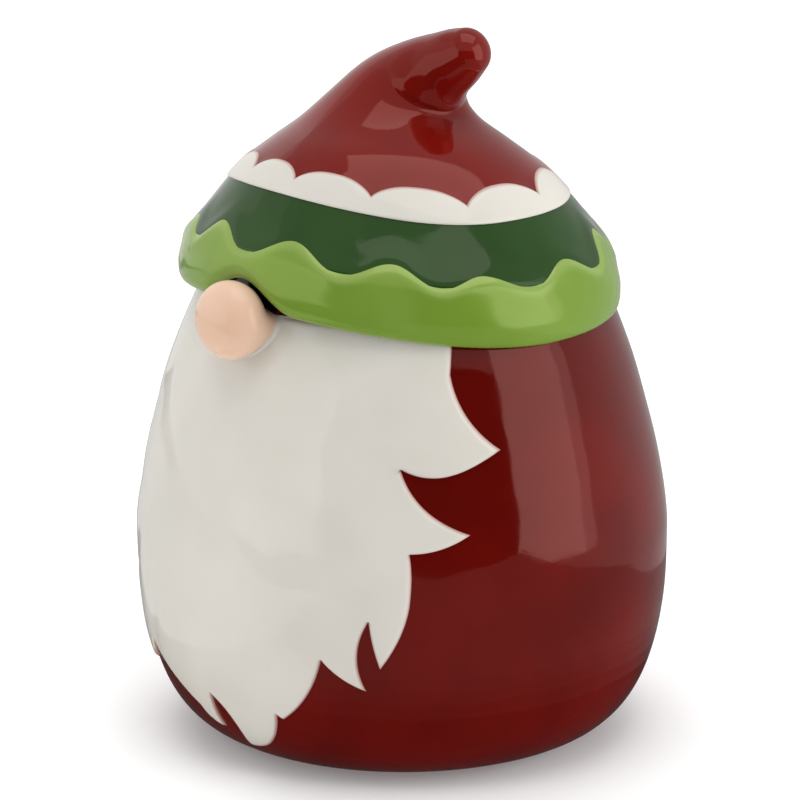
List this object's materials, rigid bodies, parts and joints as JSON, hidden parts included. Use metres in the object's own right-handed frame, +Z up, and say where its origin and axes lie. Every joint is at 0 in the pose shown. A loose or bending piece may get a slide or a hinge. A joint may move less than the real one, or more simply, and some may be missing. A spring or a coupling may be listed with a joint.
{
  "type": "lidded ceramic jar",
  "caption": "Round-bellied glazed ceramic jar shaped as a gnome with nose and beard, with a lift-off pointed hat as its lid.",
  "frame": {"origin": "on the jar's axis, in the plane of the foot ring that it stands on", "axes": "+Z up along the jar's axis; the face (nose and beard) looks along -Y; +X is the gnome's left side, to which the hat's tip leans"},
  "size_m": [0.199, 0.2004, 0.267],
  "materials": {
    "red_glaze": "deep burgundy gloss glaze",
    "white_glaze": "warm white gloss glaze",
    "peach_glaze": "peach gloss glaze",
    "dark_green_glaze": "dark green gloss glaze",
    "light_green_glaze": "light green gloss glaze, paler along raised edges",
    "bare_clay": "unglazed fired clay, matt",
    "silicone": "milky silicone, satin"
  },
  "bodies": {
    "jar": {"jar_shell": "red_glaze", "beard": "white_glaze", "nose": "peach_glaze"},
    "lid": {"hat_crown": "red_glaze", "scallop_trim": "white_glaze", "hat_band": "dark_green_glaze", "hat_brim": "light_green_glaze", "lid_flange": "bare_clay", "lid_gasket": "silicone"}
  },
  "joints": [
    {"name": "lid_lift", "type": "slide", "parent": "jar", "child": "lid", "axis": [0, 0, 1], "range_m": [0, 0.12]}
  ]
}
